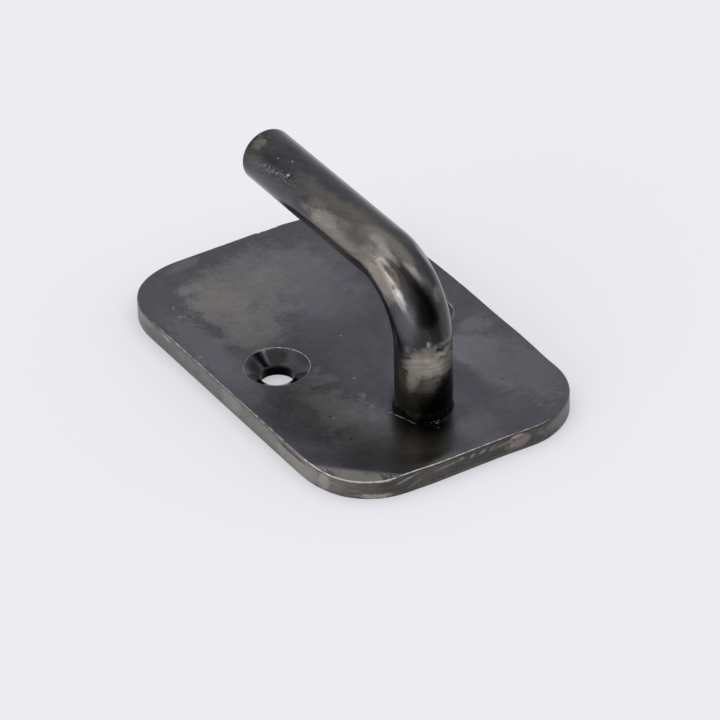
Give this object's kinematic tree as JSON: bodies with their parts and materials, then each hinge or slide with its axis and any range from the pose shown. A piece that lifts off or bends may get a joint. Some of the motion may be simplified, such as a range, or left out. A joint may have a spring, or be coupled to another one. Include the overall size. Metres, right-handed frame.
{
  "type": "wall hook",
  "caption": "Blackened steel wall hook: a rounded back plate with countersunk screw holes and a round bar that stands out and bends up the wall to a free tip.",
  "frame": {"origin": "middle of the back plate's rear face, which lies on the wall", "axes": "+Z out of the wall, +Y up the wall along the arm towards its tip, +X to the right seen from the front"},
  "size_m": [0.052, 0.079, 0.0338],
  "materials": {
    "blackened_plate": "mild steel flat bar, chemically blackened, cloudy, satin wax",
    "blackened_bar": "mild steel round bar, hand brushed and blackened, satin wax",
    "blackened_weld": "low weld bead, blackened",
    "ground_weld": "weld ground flush, blackened"
  },
  "bodies": {
    "root": {"back_plate": "blackened_plate", "hook_arm": "blackened_bar", "front_weld_bead": "blackened_weld", "back_weld": "ground_weld"}
  },
  "joints": []
}
